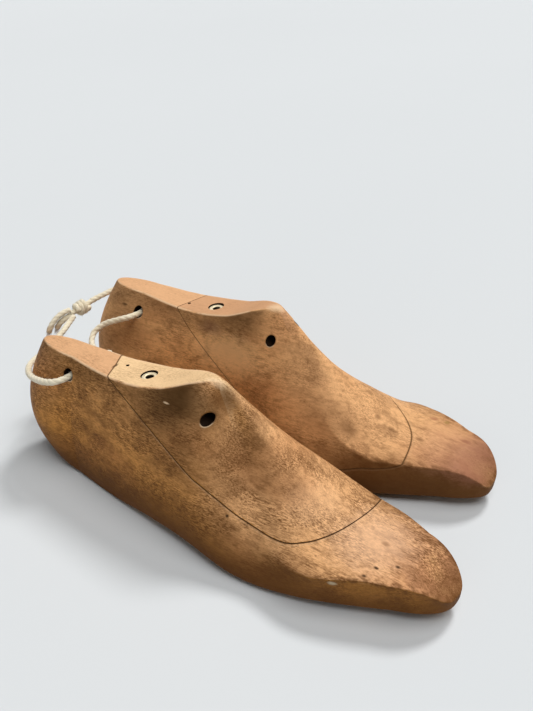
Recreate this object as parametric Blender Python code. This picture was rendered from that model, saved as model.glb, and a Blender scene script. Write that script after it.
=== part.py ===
"""A pair of wooden scoop-block lasts for men's dress shoes, tied together by a cord through their heel tops.

A last is worked out in its own frame, in millimetres: X from the heel to the toe, Y to the foot's outer
side, Z up from the table that it stands on. The right last then stands at the front and the left one, its
mirror image, behind it. The finished model is in metres, with +Z up and the pair's middle over the origin.
"""

from math import hypot, pi, radians

import bmesh
import bpy
import numpy as np
from mathutils import Matrix, Vector

MM = 0.001
GAP = 0.3  # between pieces that touch

# The last's lengthwise lines, each a list of (distance from the heel, value).
LENGTH = 286.3
HEEL_CENTRE = 42.0  # the heel's rounding is drawn about this point of the axis
TOE_CENTRE = 262.0  # and the toe's about this one
SOLE_HEIGHT = [(0, 8.5), (42, 1.1), (80, 1.7), (115, 4.9), (150, 5.2), (190, 2.2), (235, 4.7), (288, 6.8)]
OUTER_FEATHER = [(42, 21.4), (80, 27.1), (130, 33.9), (180, 40.4), (220, 34.8), (262, 19.8)]
INNER_FEATHER = [(42, 32.2), (80, 28.5), (130, 27.8), (180, 39.2), (210, 36.6), (262, 17.1)]
TOP_BACK = 9.3  # the top face starts this far from the heel's back
TOP_HEIGHT = [(10, 79.7), (40, 78.8), (80, 77.2), (115, 81.4), (145, 90.8), (152, 91.4)]
TOP_HALF_WIDTH = [(42, 8.2), (65, 10.4), (100, 12.3), (125, 10.1), (142, 5.7), (152, 2)]
RIDGE_HEIGHT = [(152, 91.4), (160, 85), (175, 70.6), (200, 49.2), (225, 35.1), (250, 29.1), (275, 26)]
RIDGE_OFFSET = [(42, 0), (80, 0.5), (150, -0.7), (200, -4.2), (262, -2.2)]
OUTER_SHOULDER = [(152, 1), (175, 14.1), (200, 32.3), (225, 36.8), (250, 28.6), (262, 23.8)]
OUTER_SHOULDER_HEIGHT = [(152, 87), (175, 50.2), (200, 25.2), (225, 23.6), (250, 26.5), (262, 26)]
INNER_SHOULDER = [(152, 3.6), (175, 14), (200, 27.2), (225, 28.8), (250, 22.8), (262, 18.2)]
INNER_SHOULDER_HEIGHT = [(152, 89.7), (175, 62), (200, 37.2), (225, 26.7), (250, 26.4), (262, 25.9)]
WALL_CURVE = 2.0  # the wall starts upright at the sole and leans in by this power of its height
HEEL_SWELL = 11.3  # how far the heel's back swells past a straight line from sole to top
SIDE_SWELL = 0.6
TOE_SWELL = 0.7
TOE_WALL = 6.7  # the toe's height above its feather edge
TOE_OVERHANG = 1.4  # and how far it stands forward of that edge
TOE_SQUARENESS = 2.76  # exponent of the sole's plan at the toe: 2 is an ellipse, more is squarer
TOE_TOP_SQUARENESS = 3.3  # and of the shoulder's
TOE_TAPER = 0.73  # share of the sides' taper that goes on into the toe along the sole
TOE_TOP_TAPER = 0.77  # and along the shoulder
SOLE_CROWN = 2.8  # the sole's centre line lies this far below its edges
SOFT_EDGE = [(150, 0), (162, 1), (185, 1), (215, 0)]  # 1 where wall and top meet without an edge

# The cut under each scoop block, at the last's middle: from its first point to its second a straight ramp,
# and from there a hollow that comes out at the vamp. Both were sawn by hand: the left one's ramp is steeper
# and its hollow runs further forward. They lie higher towards the foot's outer side, by their slant.
RIGHT_CUT = [
    (60, 82), (150, 40.7), (165, 33.9), (180, 27.2), (200, 23.4), (212, 24.2), (222, 27.4), (230, 31.8),
    (238, 39.2), (246, 50),
]
LEFT_CUT = [
    (60, 88.2), (130, 43.8), (150, 34.3), (170, 28.8), (200, 24.2), (212, 26.5), (222, 29.2), (232, 30.4),
    (240, 32.2), (248, 35.5),
]
RIGHT_SLANT = [(160, 0.2), (240, 0.2)]
LEFT_SLANT = [(160, 0.2), (240, 0.32)]

CORD_HOLE = (41.0, 67.7)  # across the heel's top: distance from the heel, height
CORD_HOLE_DIAMETER = 7.5
HOOK_HOLE = (151.5, 74.4)  # across the block, for the hook that draws it out
HOOK_HOLE_DIAMETER = 7.0
THIMBLE_AT = 98.5
THIMBLE_DIAMETER = 9.6
THIMBLE_BORE = 4.8
THIMBLE_LENGTH = 6.0
THIMBLE_DEPTH = 1.2  # its rim lies this far below the block's top face
PIN_HOLE_BOTTOM = 32.0  # the height to which the thimble's bore goes on into the body
NAIL_HOLE = (78.0, -3.0)  # through the block's thin end: distance from the heel, towards the inner side
NAIL_HOLE_DIAMETER = 2.2
NAIL_HOLE_DEPTH = 11.0
DOWEL_AT = (224.0, 28.5)  # where its axis crosses the cut
DOWEL_DIAMETER = 8.0
DOWEL_LENGTH = 24.0

# Where each last's heel stands.
RIGHT_PLACE = (-129.0, -41.2)
LEFT_PLACE = (-149.0, 41.2)

# The cord, from the knot round the left heel, through both lasts and round the right heel back to the knot.
CORD_DIAMETER = 4.0
CORD_ROUTE = [
    (-155.2, 25.3, 64.8), (-153.9, 30.5, 65.6), (-151.6, 37.5, 66.6), (-149.5, 44.8, 67.2),
    (-144.9, 52, 67.4), (-137.1, 57, 67.2), (-128.1, 59.6, 66.9), (-119.6, 60.9, 66.6),
    (-112.9, 60.8, 66.4), (-108.9, 57, 66.3), (-108, 50, 66.4), (-108, 34, 66.4), (-108, 26.5, 66.4),
    (-110, 19.5, 66.5), (-116, 13, 65.6), (-123.7, 7.7, 62.9), (-126.6, 1.5, 59.6), (-124, -4.3, 56.1),
    (-116.5, -9, 53.8), (-106.5, -12, 54.4), (-97.7, -14.7, 58.2), (-90.9, -18, 63.5),
    (-88.2, -23.5, 66.2), (-88, -30, 66.4), (-88, -50, 66.4), (-88.6, -56, 66.3), (-91.8, -60.7, 65.7),
    (-98, -62.3, 64.4), (-106.5, -61.7, 62.6), (-116, -59.7, 60.9), (-126, -54.9, 59.6),
    (-133.4, -47.3, 58.9), (-137, -38, 58.6), (-140.3, -27, 58.8), (-145.6, -11, 59.7),
    (-151.3, 2, 61), (-154.3, 8.5, 61.6),
]
KNOT_ENDS = ((-156.9, 11.5, 62.8), (-155.4, 23.5, 64.4))
KNOT_TURNS = 3
KNOT_STRAND = 3.2
KNOT_RADIUS = 3.3
LONG_TAIL = [
    (-158.2, 10, 64.9), (-160.2, 3.5, 64.3), (-161.8, -1.5, 61.9), (-162.8, -5.8, 58.2), (-163, -9, 54),
]
SHORT_TAIL = [(-158.2, 10, 60.4), (-160.4, 4.2, 59.4), (-162, 0.6, 57), (-162.8, -2, 53.6)]

# Surface steps.
SIDE_COLUMNS = 40
FAN_COLUMNS = 9
SOLE_ROWS = 3
WALL_ROWS = 8
TOP_ROWS = 5
HOLLOW_STEPS = 18
ROUND_SIDES = 24
NAIL_HOLE_SIDES = 12
CORD_STEP = 6.0
FAR = 150.0  # past every face of a last

WALL_WOOD = (0.34, 0.18, 0.085)
BLOCK_WOOD = (0.40, 0.23, 0.11)
DOWEL_WOOD = (0.50, 0.33, 0.18)
THIMBLE_METAL = (0.55, 0.53, 0.47)
CORD_COTTON = (0.78, 0.72, 0.58)


def slopes(points):
    """The slope of a smooth line at each of its points, taken from the neighbours."""
    px, pv = np.array(points, float).T
    step = np.diff(px)
    rise = np.diff(pv) / step
    slope = np.empty(len(px))
    slope[1:-1] = (rise[:-1] * step[1:] + rise[1:] * step[:-1]) / (step[:-1] + step[1:])
    slope[0] = 1.5 * rise[0] - 0.5 * slope[1]
    slope[-1] = 1.5 * rise[-1] - 0.5 * slope[-2]
    return slope


def line(x, points):
    """A smooth line through the points, by cubic pieces that meet at the same slope."""
    px, pv = np.array(points, float).T
    step = np.diff(px)
    slope = slopes(points)
    i = np.clip(np.searchsorted(px, x, side="right") - 1, 0, len(step) - 1)
    t = np.clip((x - px[i]) / step[i], 0, 1)
    from_left = (1 + 2 * t) * (1 - t) ** 2 * pv[i] + t * (1 - t) ** 2 * step[i] * slope[i]
    from_right = t * t * (3 - 2 * t) * pv[i + 1] + t * t * (t - 1) * step[i] * slope[i + 1]
    return from_left + from_right


def unit(vectors):
    """The same directions, each of length one."""
    return vectors / np.maximum(np.linalg.norm(vectors, axis=-1, keepdims=True), 1e-9)


def half_last(side):
    """Half of the last's surface as a grid of points: sections from heel to toe, each from sole to top.

    A section stands square to the axis along the sides, and turns about the heel's and the toe's centres at
    the ends. It goes from the sole's centre line out to the feather edge, up the wall to the shoulder or to
    the top face's edge, and in to the centre line on top. side is 1 for the foot's outer side and -1 for its
    inner one.
    """
    feather_line = OUTER_FEATHER if side > 0 else INNER_FEATHER
    shoulder_line = OUTER_SHOULDER if side > 0 else INNER_SHOULDER
    shoulder_height = OUTER_SHOULDER_HEIGHT if side > 0 else INNER_SHOULDER_HEIGHT
    beak = TOP_HEIGHT[-1][0]

    # Each section's place on the axis, and its direction from there for the sole and for the top.
    turn = np.linspace(0, pi / 2, FAN_COLUMNS + 1)
    along = np.linspace(HEEL_CENTRE, TOE_CENTRE, SIDE_COLUMNS + 1)[1:-1]
    centre_x = np.concatenate([0 * turn + HEEL_CENTRE, along, 0 * turn + TOE_CENTRE])
    out_x, out_y = directions(turn, along, TOE_SQUARENESS)
    top_x, top_y = directions(turn, along, TOE_TOP_SQUARENESS)
    backward = out_x < -1e-9
    forward = out_x > 1e-9
    ends = np.concatenate([np.cos(turn), 0 * along, np.cos(turn[::-1])]).clip(0)

    feather_x = centre_x + out_x * np.where(backward, HEEL_CENTRE, LENGTH - TOE_CENTRE)
    toe_reach = LENGTH + TOE_OVERHANG - TOE_CENTRE
    edge_x = centre_x + top_x * np.where(backward, HEEL_CENTRE - TOP_BACK, toe_reach)
    feather_taper = np.where(forward, TOE_TAPER * slopes(feather_line)[-1] * (feather_x - centre_x), 0)
    edge_taper = np.where(forward, TOE_TOP_TAPER * slopes(shoulder_line)[-1] * (edge_x - centre_x), 0)
    feather_y = (line(centre_x, feather_line) + feather_taper) * out_y
    on_cone = centre_x <= beak
    ridge_y = side * line(centre_x, RIDGE_OFFSET) * np.where(backward, out_y, 1)
    cone_y = line(centre_x, TOP_HALF_WIDTH) * out_y + ridge_y
    edge_y = np.where(on_cone, cone_y, (line(centre_x, shoulder_line) + edge_taper) * top_y)
    ridge_z = np.where(on_cone, line(centre_x, TOP_HEIGHT), line(centre_x, RIDGE_HEIGHT))
    toe_z = line(np.array([LENGTH]), SOLE_HEIGHT) + TOE_WALL
    shoulder_z = line(centre_x, shoulder_height)
    shoulder_z = np.where(forward, shoulder_z + (toe_z - shoulder_z) * ends**2, shoulder_z)
    edge_z = np.where(on_cone, line(edge_x, TOP_HEIGHT), shoulder_z)
    toeward = 1 - ((TOE_CENTRE - centre_x) / 60).clip(0, 1)
    side_swell = SIDE_SWELL * (1 - toeward) + TOE_SWELL * toeward
    swell = np.where(backward, HEEL_SWELL * ends + SIDE_SWELL * out_y, side_swell)[:, None, None]

    feather = np.stack([feather_x, feather_y, line(feather_x, SOLE_HEIGHT)], -1)[:, None]
    edge = np.stack([edge_x, edge_y, edge_z], -1)[:, None]
    ridge = np.stack([centre_x, ridge_y, ridge_z], -1)[:, None]
    outward = np.stack([out_x, out_y, 0 * out_x], -1)[:, None]

    # The sole goes straight out from the centre line, which is its lowest part.
    share = np.linspace(0, 1, SOLE_ROWS + 1)[None, :-1, None]
    sole = np.stack([centre_x, 0 * centre_x, 0 * centre_x], -1)[:, None] * (1 - share) + feather * share
    sole[..., 2] = line(sole[..., 0], SOLE_HEIGHT) - SOLE_CROWN * (1 - share[..., 0] ** 2)

    # The wall leans in by a power of its height, and swells by an arch of a sine.
    rise = np.linspace(0, 1, WALL_ROWS + 1)[None, :, None]
    lean = np.concatenate([rise**WALL_CURVE, rise**WALL_CURVE, rise], -1)
    wall = feather + (edge - feather) * lean + outward * swell * np.sin(pi * rise**0.8)

    # The top is a cubic from the edge to the ridge, smooth with the wall over the instep, level at the ridge.
    lean_end = unit((edge - feather) * [WALL_CURVE, WALL_CURVE, 1] - outward * swell * pi * 0.8)
    across = ridge - edge
    soft = np.interp(centre_x, *np.array(SOFT_EDGE, float).T)[:, None, None]
    start = unit(lean_end * soft + unit(across * [1, 1, 1.35]) * (1 - soft))
    hold_edge = edge + 0.42 * np.linalg.norm(across, axis=-1, keepdims=True) * start
    hold_ridge = ridge - 0.35 * across * [1, 1, 0]
    t = np.linspace(0, 1, TOP_ROWS + 1)[None, 1:, None]
    near_edge = (1 - t) ** 3 * edge + 3 * t * (1 - t) ** 2 * hold_edge
    top = near_edge + 3 * t * t * (1 - t) * hold_ridge + t**3 * ridge
    return np.concatenate([sole, wall, top], 1) * [1, side, 1]


def directions(turn, along, squareness):
    """Each section's direction from the axis; at the toe they follow a curve of the squareness."""
    power = 2 / squareness
    out_x = np.concatenate([-np.cos(turn), 0 * along, np.cos(turn[::-1]).clip(0) ** power])
    out_y = np.concatenate([np.sin(turn), 0 * along + 1, np.sin(turn[::-1]).clip(0) ** power])
    return out_x, out_y


def cut_height(x, cut):
    """The cut's height at the last's middle: its ramp, then its hollow, then straight on."""
    foot_x, foot_z = cut[1]
    before, end = cut[-2:]
    ramp = foot_z + (x - foot_x) * ramp_slope(cut)
    beyond = end[1] + (x - end[0]) * (end[1] - before[1]) / (end[0] - before[0])
    return np.where(x <= foot_x, ramp, np.where(x >= end[0], beyond, line(x, cut[1:])))


def ramp_slope(cut):
    """The ramp's fall for each step towards the toe, as a negative number."""
    (top_x, top_z), (foot_x, foot_z) = cut[:2]
    return (foot_z - top_z) / (foot_x - top_x)


def finish(name, bm, colour, roughness=0.5, metallic=0.0, sharp=radians(32)):
    """Puts a mesh into an object of its own, with its material, shaded smooth except along its edges."""
    mesh = bpy.data.meshes.new(name)
    bm.to_mesh(mesh)
    bm.free()
    obj = bpy.data.objects.new(name, mesh)
    bpy.context.scene.collection.objects.link(obj)
    paint(obj, colour, roughness, metallic)
    smooth(obj, sharp)
    return obj


def smooth(obj, sharp=radians(32)):
    """Shades a mesh smooth, except at edges that turn by more than the angle."""
    obj.data.shade_smooth()
    obj.data.set_sharp_from_angle(angle=sharp)


def paint(obj, colour, roughness, metallic):
    """Gives an object its own Principled material."""
    material = bpy.data.materials.new(obj.name)
    material.use_nodes = True
    shader = material.node_tree.nodes["Principled BSDF"]
    shader.inputs["Base Color"].default_value = (*colour, 1)
    shader.inputs["Roughness"].default_value = roughness
    shader.inputs["Metallic"].default_value = metallic
    obj.data.materials.append(material)


def blank(name, hand, colour):
    """The whole last before it is cut. hand is 1 for a right last, whose outer side is -Y, -1 for a left."""
    outer, inner = half_last(1), half_last(-1)
    ring = np.concatenate([outer, inner[::-1][1:-1]]) * [1, -hand, 1] * MM
    columns, rows = ring.shape[:2]
    bm = bmesh.new()
    points = [bm.verts.new(p) for p in ring.reshape(-1, 3)]
    for i in range(columns):
        here, after = i * rows, (i + 1) % columns * rows
        for k in range(rows - 1):
            bm.faces.new([points[here + k], points[after + k], points[after + k + 1], points[here + k + 1]])
    bmesh.ops.remove_doubles(bm, verts=bm.verts, dist=0.01 * MM)
    bmesh.ops.recalc_face_normals(bm, faces=bm.faces)
    return finish(name, bm, colour)


def above_cut(hand, cut, slant_line, lift):
    """A cutter that fills all space above the cut, which is raised by lift millimetres."""
    behind, ahead = -60.0, LENGTH + 32
    x = np.concatenate([[behind], np.linspace(cut[1][0], cut[-1][0], HOLLOW_STEPS + 1), [ahead]])
    slant = np.interp(x, *np.array(slant_line, float).T)
    bm = bmesh.new()
    rims = []
    for outer_y in (-FAR, FAR):
        z = cut_height(x, cut) + lift + slant * outer_y
        outline = [*zip(x, z), (ahead, 2 * FAR), (behind, 2 * FAR)]
        rims.append([bm.verts.new((px * MM, -hand * outer_y * MM, pz * MM)) for px, pz in outline])
    for rim in rims:
        bm.faces.new(rim)
    for i in range(len(rims[0])):
        j = (i + 1) % len(rims[0])
        bm.faces.new([rims[0][i], rims[0][j], rims[1][j], rims[1][i]])
    bmesh.ops.triangulate(bm, faces=bm.faces)
    bmesh.ops.recalc_face_normals(bm, faces=bm.faces)
    return finish("above_cut", bm, BLOCK_WOOD)


def rod(name, diameter, start, end, colour=DOWEL_WOOD, sides=ROUND_SIDES, chamfer=0.0):
    """A round rod from start to end in millimetres, its ends chamfered where a chamfer is given."""
    start, end = Vector(start) * MM, Vector(end) * MM
    length, r, c = (end - start).length, diameter / 2 * MM, chamfer * MM
    profile = [(0, 0), (r - c, 0), (r, c), (r, length - c), (r - c, length), (0, length)]
    if chamfer == 0:
        profile = [(0, 0), (r, 0), (r, length), (0, length)]
    return turned(name, profile, start, end - start, colour, sides)


def turned(name, profile, start, direction, colour, sides=ROUND_SIDES, roughness=0.6, metallic=0.0):
    """Spins a profile of (radius, height) in metres about the direction that leaves the start point."""
    bm = bmesh.new()
    points = [bm.verts.new((r, 0, h)) for r, h in profile]
    edges = [bm.edges.new(pair) for pair in zip(points, points[1:])]
    if profile[0][0] > 0:
        edges.append(bm.edges.new((points[-1], points[0])))
    bmesh.ops.spin(bm, geom=points + edges, cent=(0, 0, 0), axis=(0, 0, 1), angle=2 * pi, steps=sides)
    bmesh.ops.remove_doubles(bm, verts=bm.verts, dist=0.001 * MM)
    bmesh.ops.recalc_face_normals(bm, faces=bm.faces)
    turn = Vector(direction).to_track_quat("Z", "Y").to_matrix().to_4x4()
    bmesh.ops.transform(bm, matrix=Matrix.Translation(start) @ turn, verts=bm.verts)
    return finish(name, bm, colour, roughness, metallic)


def slab_below_table():
    """A cutter that fills the space under the table's top."""
    bm = bmesh.new()
    depth = 20.0
    size = Matrix.Diagonal((4 * FAR * MM, 2 * FAR * MM, depth * MM, 1))
    bmesh.ops.create_cube(bm, size=1, matrix=Matrix.Translation((FAR * MM, 0, -depth / 2 * MM)) @ size)
    return finish("below_table", bm, BLOCK_WOOD)


def carve(obj, operation, *cutters):
    """Cuts a piece by each cutter in turn with a Boolean, keeps the result as its mesh, shades it again."""
    for cutter in cutters:
        modifier = obj.modifiers.new(cutter.name, "BOOLEAN")
        modifier.operation = operation
        modifier.object = cutter
    shape = obj.evaluated_get(bpy.context.evaluated_depsgraph_get())
    result = bpy.data.meshes.new_from_object(shape)
    obj.modifiers.clear()
    obj.data = result
    material = obj.data.materials[0]
    obj.data.materials.clear()
    obj.data.materials.append(material)
    obj.data.polygons.foreach_set("material_index", [0] * len(obj.data.polygons))
    smooth(obj)


def discard(*objects):
    """Removes cutters once every piece is cut."""
    for obj in objects:
        bpy.data.objects.remove(obj)


def empty(name, location, parent=None):
    """An empty that carries pieces, at a place in millimetres in its parent's frame."""
    obj = bpy.data.objects.new(name, None)
    obj.empty_display_size = 20 * MM
    obj.location = Vector(location) * MM
    obj.parent = parent
    bpy.context.scene.collection.objects.link(obj)
    return obj


def carry(parent, pieces, offset=(0, 0, 0)):
    """Hangs pieces on an empty that lies at the offset from their own frame."""
    for piece in pieces:
        piece.parent = parent
        piece.location = -Vector(offset) * MM


def thimble(name):
    """The metal tube in the block's top, with its rim chamfered inside and outside."""
    bottom, top = thimble_heights()
    inner, outer, edge = THIMBLE_BORE / 2 * MM, THIMBLE_DIAMETER / 2 * MM, 0.4 * MM
    height = (top - bottom) * MM
    profile = [(inner, 0), (outer - edge, 0), (outer, edge), (outer, height - edge), (outer - edge, height),
               (inner + edge, height), (inner, height - edge)]
    start = Vector((THIMBLE_AT, 0, bottom)) * MM
    return turned(name, profile, start, (0, 0, 1), THIMBLE_METAL, roughness=0.35, metallic=0.9)


def stepped_hole():
    """A cutter for the thimble's pocket and for the pin's bore, which goes on below it into the body."""
    pocket, bore = (THIMBLE_DIAMETER / 2 + GAP) * MM, THIMBLE_BORE / 2 * MM
    floor = (thimble_heights()[0] - GAP - PIN_HOLE_BOTTOM) * MM
    profile = [(0, 0), (bore, 0), (bore, floor), (pocket, floor), (pocket, FAR * MM), (0, FAR * MM)]
    return turned("pin_hole", profile, Vector((THIMBLE_AT, 0, PIN_HOLE_BOTTOM)) * MM, (0, 0, 1), BLOCK_WOOD)


def thimble_heights():
    """The heights of the thimble's lower end and of its rim."""
    rim = float(line(np.array([THIMBLE_AT]), TOP_HEIGHT)[0]) - THIMBLE_DEPTH
    return rim - THIMBLE_LENGTH, rim


def slide_direction(cut):
    """The direction in which the block slides off: back and up along the ramp."""
    return Vector((-1, 0, -ramp_slope(cut))).normalized()


def dowel_ends(cut, margin=0.0):
    """The ends of the dowel's axis, which lies along the slide; the margin lengthens it at both ends."""
    middle = Vector((DOWEL_AT[0], 0, DOWEL_AT[1]))
    reach = slide_direction(cut) * (DOWEL_LENGTH / 2 + margin)
    return middle - reach, middle + reach


def last(side_name, hand, place, cut, slant_line):
    """One last: its body, the scoop block that slides off it, the block's thimble, the dowel at its nose."""
    stand = empty(f"{side_name}_last", (*place, 0))
    body = blank(f"{side_name}_last_body", hand, WALL_WOOD)
    block = blank(f"{side_name}_scoop_block", hand, BLOCK_WOOD)
    lift = GAP / 2 * hypot(1, ramp_slope(cut))
    low_cut, high_cut = above_cut(hand, cut, slant_line, -lift), above_cut(hand, cut, slant_line, lift)

    cord_x, cord_z = CORD_HOLE
    cord_hole = rod("cord_hole", CORD_HOLE_DIAMETER, (cord_x, -FAR, cord_z), (cord_x, FAR, cord_z))
    hook_x, hook_z = HOOK_HOLE
    hook_hole = rod("hook_hole", HOOK_HOLE_DIAMETER, (hook_x, -FAR, hook_z), (hook_x, FAR, hook_z))
    pin_hole = stepped_hole()
    nail_x, nail_out = NAIL_HOLE
    nail_top = float(line(np.array([nail_x]), TOP_HEIGHT)[0])
    nail_y = -hand * nail_out
    nail_foot = (nail_x, nail_y, nail_top - NAIL_HOLE_DEPTH)
    nail_hole = rod("nail_hole", NAIL_HOLE_DIAMETER, nail_foot, (nail_x, nail_y, FAR), sides=NAIL_HOLE_SIDES)
    dowel_hole = rod("dowel_hole", DOWEL_DIAMETER + 2 * GAP, *dowel_ends(cut, GAP))
    table = slab_below_table()

    carve(body, "DIFFERENCE", low_cut, cord_hole, pin_hole, nail_hole, dowel_hole, table)
    carve(block, "DIFFERENCE", hook_hole, pin_hole, nail_hole, dowel_hole)
    carve(block, "INTERSECT", high_cut)
    discard(low_cut, high_cut, cord_hole, hook_hole, pin_hole, nail_hole, dowel_hole, table)

    dowel = rod(f"{side_name}_nose_dowel", DOWEL_DIAMETER, *dowel_ends(cut), chamfer=0.8)
    slide = empty(f"{side_name}_block_slide", (DOWEL_AT[0], 0, DOWEL_AT[1]), stand)
    carry(stand, [body, dowel])
    carry(slide, [block, thimble(f"{side_name}_thimble")], (DOWEL_AT[0], 0, DOWEL_AT[1]))


def route_points(route, step):
    """Points at even steps along a smooth curve through the route, by its length from point to point."""
    route = np.array(route, float)
    reach = np.concatenate([[0], np.cumsum(np.linalg.norm(np.diff(route, axis=0), axis=1))])
    at = np.linspace(0, reach[-1], round(reach[-1] / step) + 1)
    return np.stack([line(at, list(zip(reach, route[:, k]))) for k in range(3)], -1)


def cord(name, points, diameter):
    """A length of cord: a round tube along the points, with flat ends."""
    curve = bpy.data.curves.new(name, "CURVE")
    curve.dimensions = "3D"
    curve.bevel_depth = diameter / 2 * MM
    curve.bevel_resolution = 2
    curve.use_fill_caps = True
    spline = curve.splines.new("POLY")
    spline.points.add(len(points) - 1)
    spline.points.foreach_set("co", np.column_stack([points * MM, np.ones(len(points))]).ravel())
    obj = bpy.data.objects.new(name, curve)
    bpy.context.scene.collection.objects.link(obj)
    paint(obj, CORD_COTTON, 0.95, 0.0)
    return obj


def knot_points():
    """The knot's turns: a helix drawn tight about the line between the knot's ends."""
    start, end = (np.array(p, float) for p in KNOT_ENDS)
    axis = unit(end - start)
    aside = unit(np.cross(axis, [0, 0, 1]))
    above = np.cross(aside, axis)
    t = np.linspace(0, 1, KNOT_TURNS * 12 + 1)[:, None]
    turn = 2 * pi * KNOT_TURNS * t
    margin = KNOT_STRAND / 2 / np.linalg.norm(end - start)
    along = start + (end - start) * (margin + (1 - 2 * margin) * t)
    return along + KNOT_RADIUS * (aside * np.cos(turn) + above * np.sin(turn))


for old in list(bpy.data.objects):
    bpy.data.objects.remove(old)
last("right", 1, RIGHT_PLACE, RIGHT_CUT, RIGHT_SLANT)
last("left", -1, LEFT_PLACE, LEFT_CUT, LEFT_SLANT)
tie = route_points(CORD_ROUTE, CORD_STEP)
long_tail = route_points(LONG_TAIL, CORD_STEP / 2)
short_tail = route_points(SHORT_TAIL, CORD_STEP / 2)
cord("tie_cord", tie, CORD_DIAMETER)
cord("tie_knot", knot_points(), KNOT_STRAND)
cord("long_tail", long_tail, CORD_DIAMETER)
cord("short_tail", short_tail, CORD_DIAMETER)
for name, points in (("tie cord", tie), ("long tail", long_tail), ("short tail", short_tail)):
    print(name, "length", round(float(np.linalg.norm(np.diff(points, axis=0), axis=1).sum()), 1), "mm")
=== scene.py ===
"""The looks of a pair of worn wooden shoe lasts, tied together at the heels by a cotton cord.

Places are in metres in the model's frame. A last's own form is worked out in millimetres, X from heel to toe.
"""

from dataclasses import dataclass
from math import hypot, pi, radians
from types import SimpleNamespace

import bmesh
import bpy
import numpy as np
from mathutils import Matrix, Vector


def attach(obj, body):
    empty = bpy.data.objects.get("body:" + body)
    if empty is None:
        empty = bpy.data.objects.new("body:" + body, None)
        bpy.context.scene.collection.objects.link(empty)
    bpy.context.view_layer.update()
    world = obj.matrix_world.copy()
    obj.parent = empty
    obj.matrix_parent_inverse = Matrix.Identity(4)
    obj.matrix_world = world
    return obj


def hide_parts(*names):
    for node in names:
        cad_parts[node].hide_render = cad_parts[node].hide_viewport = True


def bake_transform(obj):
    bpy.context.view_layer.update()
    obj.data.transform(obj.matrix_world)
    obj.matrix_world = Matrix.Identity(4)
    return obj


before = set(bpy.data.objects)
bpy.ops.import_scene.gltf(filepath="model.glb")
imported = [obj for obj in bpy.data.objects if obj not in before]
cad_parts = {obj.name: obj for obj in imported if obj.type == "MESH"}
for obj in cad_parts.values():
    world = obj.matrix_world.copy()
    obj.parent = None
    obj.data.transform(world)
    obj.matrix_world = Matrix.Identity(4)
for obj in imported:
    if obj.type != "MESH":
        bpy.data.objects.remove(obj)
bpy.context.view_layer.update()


# The camera stands at arm's length from the right last's outer side, above the toes, and looks down on the
# pair. Its lens and place give the photograph's perspective at 533 by 711 pixels.
IMAGE_WIDTH = 533
FOCAL_PIXELS = 833.8
CAMERA_PLACE = (0.2762, -0.3059, 0.3168)
CAMERA_HEADING = radians(39.81)
CAMERA_TILT = radians(30.3)
CAMERA_ROLL = radians(-5.78)

camera_data = bpy.data.cameras.new("camera")
camera_data.sensor_fit = "HORIZONTAL"
camera_data.lens = FOCAL_PIXELS * camera_data.sensor_width / IMAGE_WIDTH
camera = bpy.data.objects.new("camera", camera_data)
heading = Matrix.Rotation(CAMERA_HEADING, 4, "Z")
tilt = Matrix.Rotation(pi / 2 - CAMERA_TILT, 4, "X")
roll = Matrix.Rotation(CAMERA_ROLL, 4, "Z")
camera.matrix_world = Matrix.Translation(CAMERA_PLACE) @ heading @ tilt @ roll
bpy.context.scene.collection.objects.link(camera)
bpy.context.scene.camera = camera


# The tie cord is soft cotton of three strands, twisted, about 4 mm thick and fluffy from handling. It runs
# from the knot round the left heel, through both heel tops and round the right heel back to the knot, which
# is wound of the same cord. Its two ends hang from the knot side by side, frayed and soiled brown.
CORD_DIAMETER = 0.004
CORD_ROUTE = np.array([
    (-0.1552, 0.0253, 0.0648), (-0.1539, 0.0305, 0.0656), (-0.1516, 0.0375, 0.0666),
    (-0.1495, 0.0448, 0.0672), (-0.1449, 0.0520, 0.0674), (-0.1371, 0.0570, 0.0672),
    (-0.1281, 0.0596, 0.0669), (-0.1196, 0.0609, 0.0666), (-0.1129, 0.0608, 0.0664),
    (-0.1089, 0.0570, 0.0663), (-0.1080, 0.0500, 0.0664), (-0.1080, 0.0340, 0.0664),
    (-0.1080, 0.0265, 0.0664), (-0.1100, 0.0195, 0.0665), (-0.1160, 0.0130, 0.0656),
    (-0.1237, 0.0077, 0.0629), (-0.1266, 0.0015, 0.0596), (-0.1240, -0.0043, 0.0561),
    (-0.1165, -0.0090, 0.0538), (-0.1065, -0.0120, 0.0544), (-0.0977, -0.0147, 0.0582),
    (-0.0909, -0.0180, 0.0635), (-0.0882, -0.0235, 0.0662), (-0.0880, -0.0300, 0.0664),
    (-0.0880, -0.0500, 0.0664), (-0.0886, -0.0560, 0.0663), (-0.0918, -0.0607, 0.0657),
    (-0.0980, -0.0623, 0.0644), (-0.1065, -0.0617, 0.0626), (-0.1160, -0.0597, 0.0609),
    (-0.1260, -0.0549, 0.0596), (-0.1334, -0.0473, 0.0589), (-0.1370, -0.0380, 0.0586),
    (-0.1403, -0.0270, 0.0588), (-0.1456, -0.0110, 0.0597), (-0.1513, 0.0020, 0.0610),
    (-0.1543, 0.0085, 0.0616),
])
LONG_TAIL_ROUTE = np.array([
    (-0.1582, 0.0100, 0.0649), (-0.1602, 0.0035, 0.0643), (-0.1618, -0.0015, 0.0619),
    (-0.1628, -0.0058, 0.0582), (-0.1630, -0.0090, 0.0540),
])
SHORT_TAIL_ROUTE = np.array([
    (-0.1582, 0.0100, 0.0604), (-0.1604, 0.0042, 0.0594), (-0.1620, 0.0006, 0.0570),
    (-0.1628, -0.0020, 0.0536),
])
PATH_STEP = 0.0005
CORD_SIDES = 30
CORD_WAVES = (0.0021, 0.0047, 0.011)  # the lengths at which it grows thicker and thinner
END_DOME = 0.35  # share of the diameter
STRANDS = 3
STRAND_GROOVE = 0.17  # share of the radius
LAY_LENGTH = 0.0115
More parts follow.
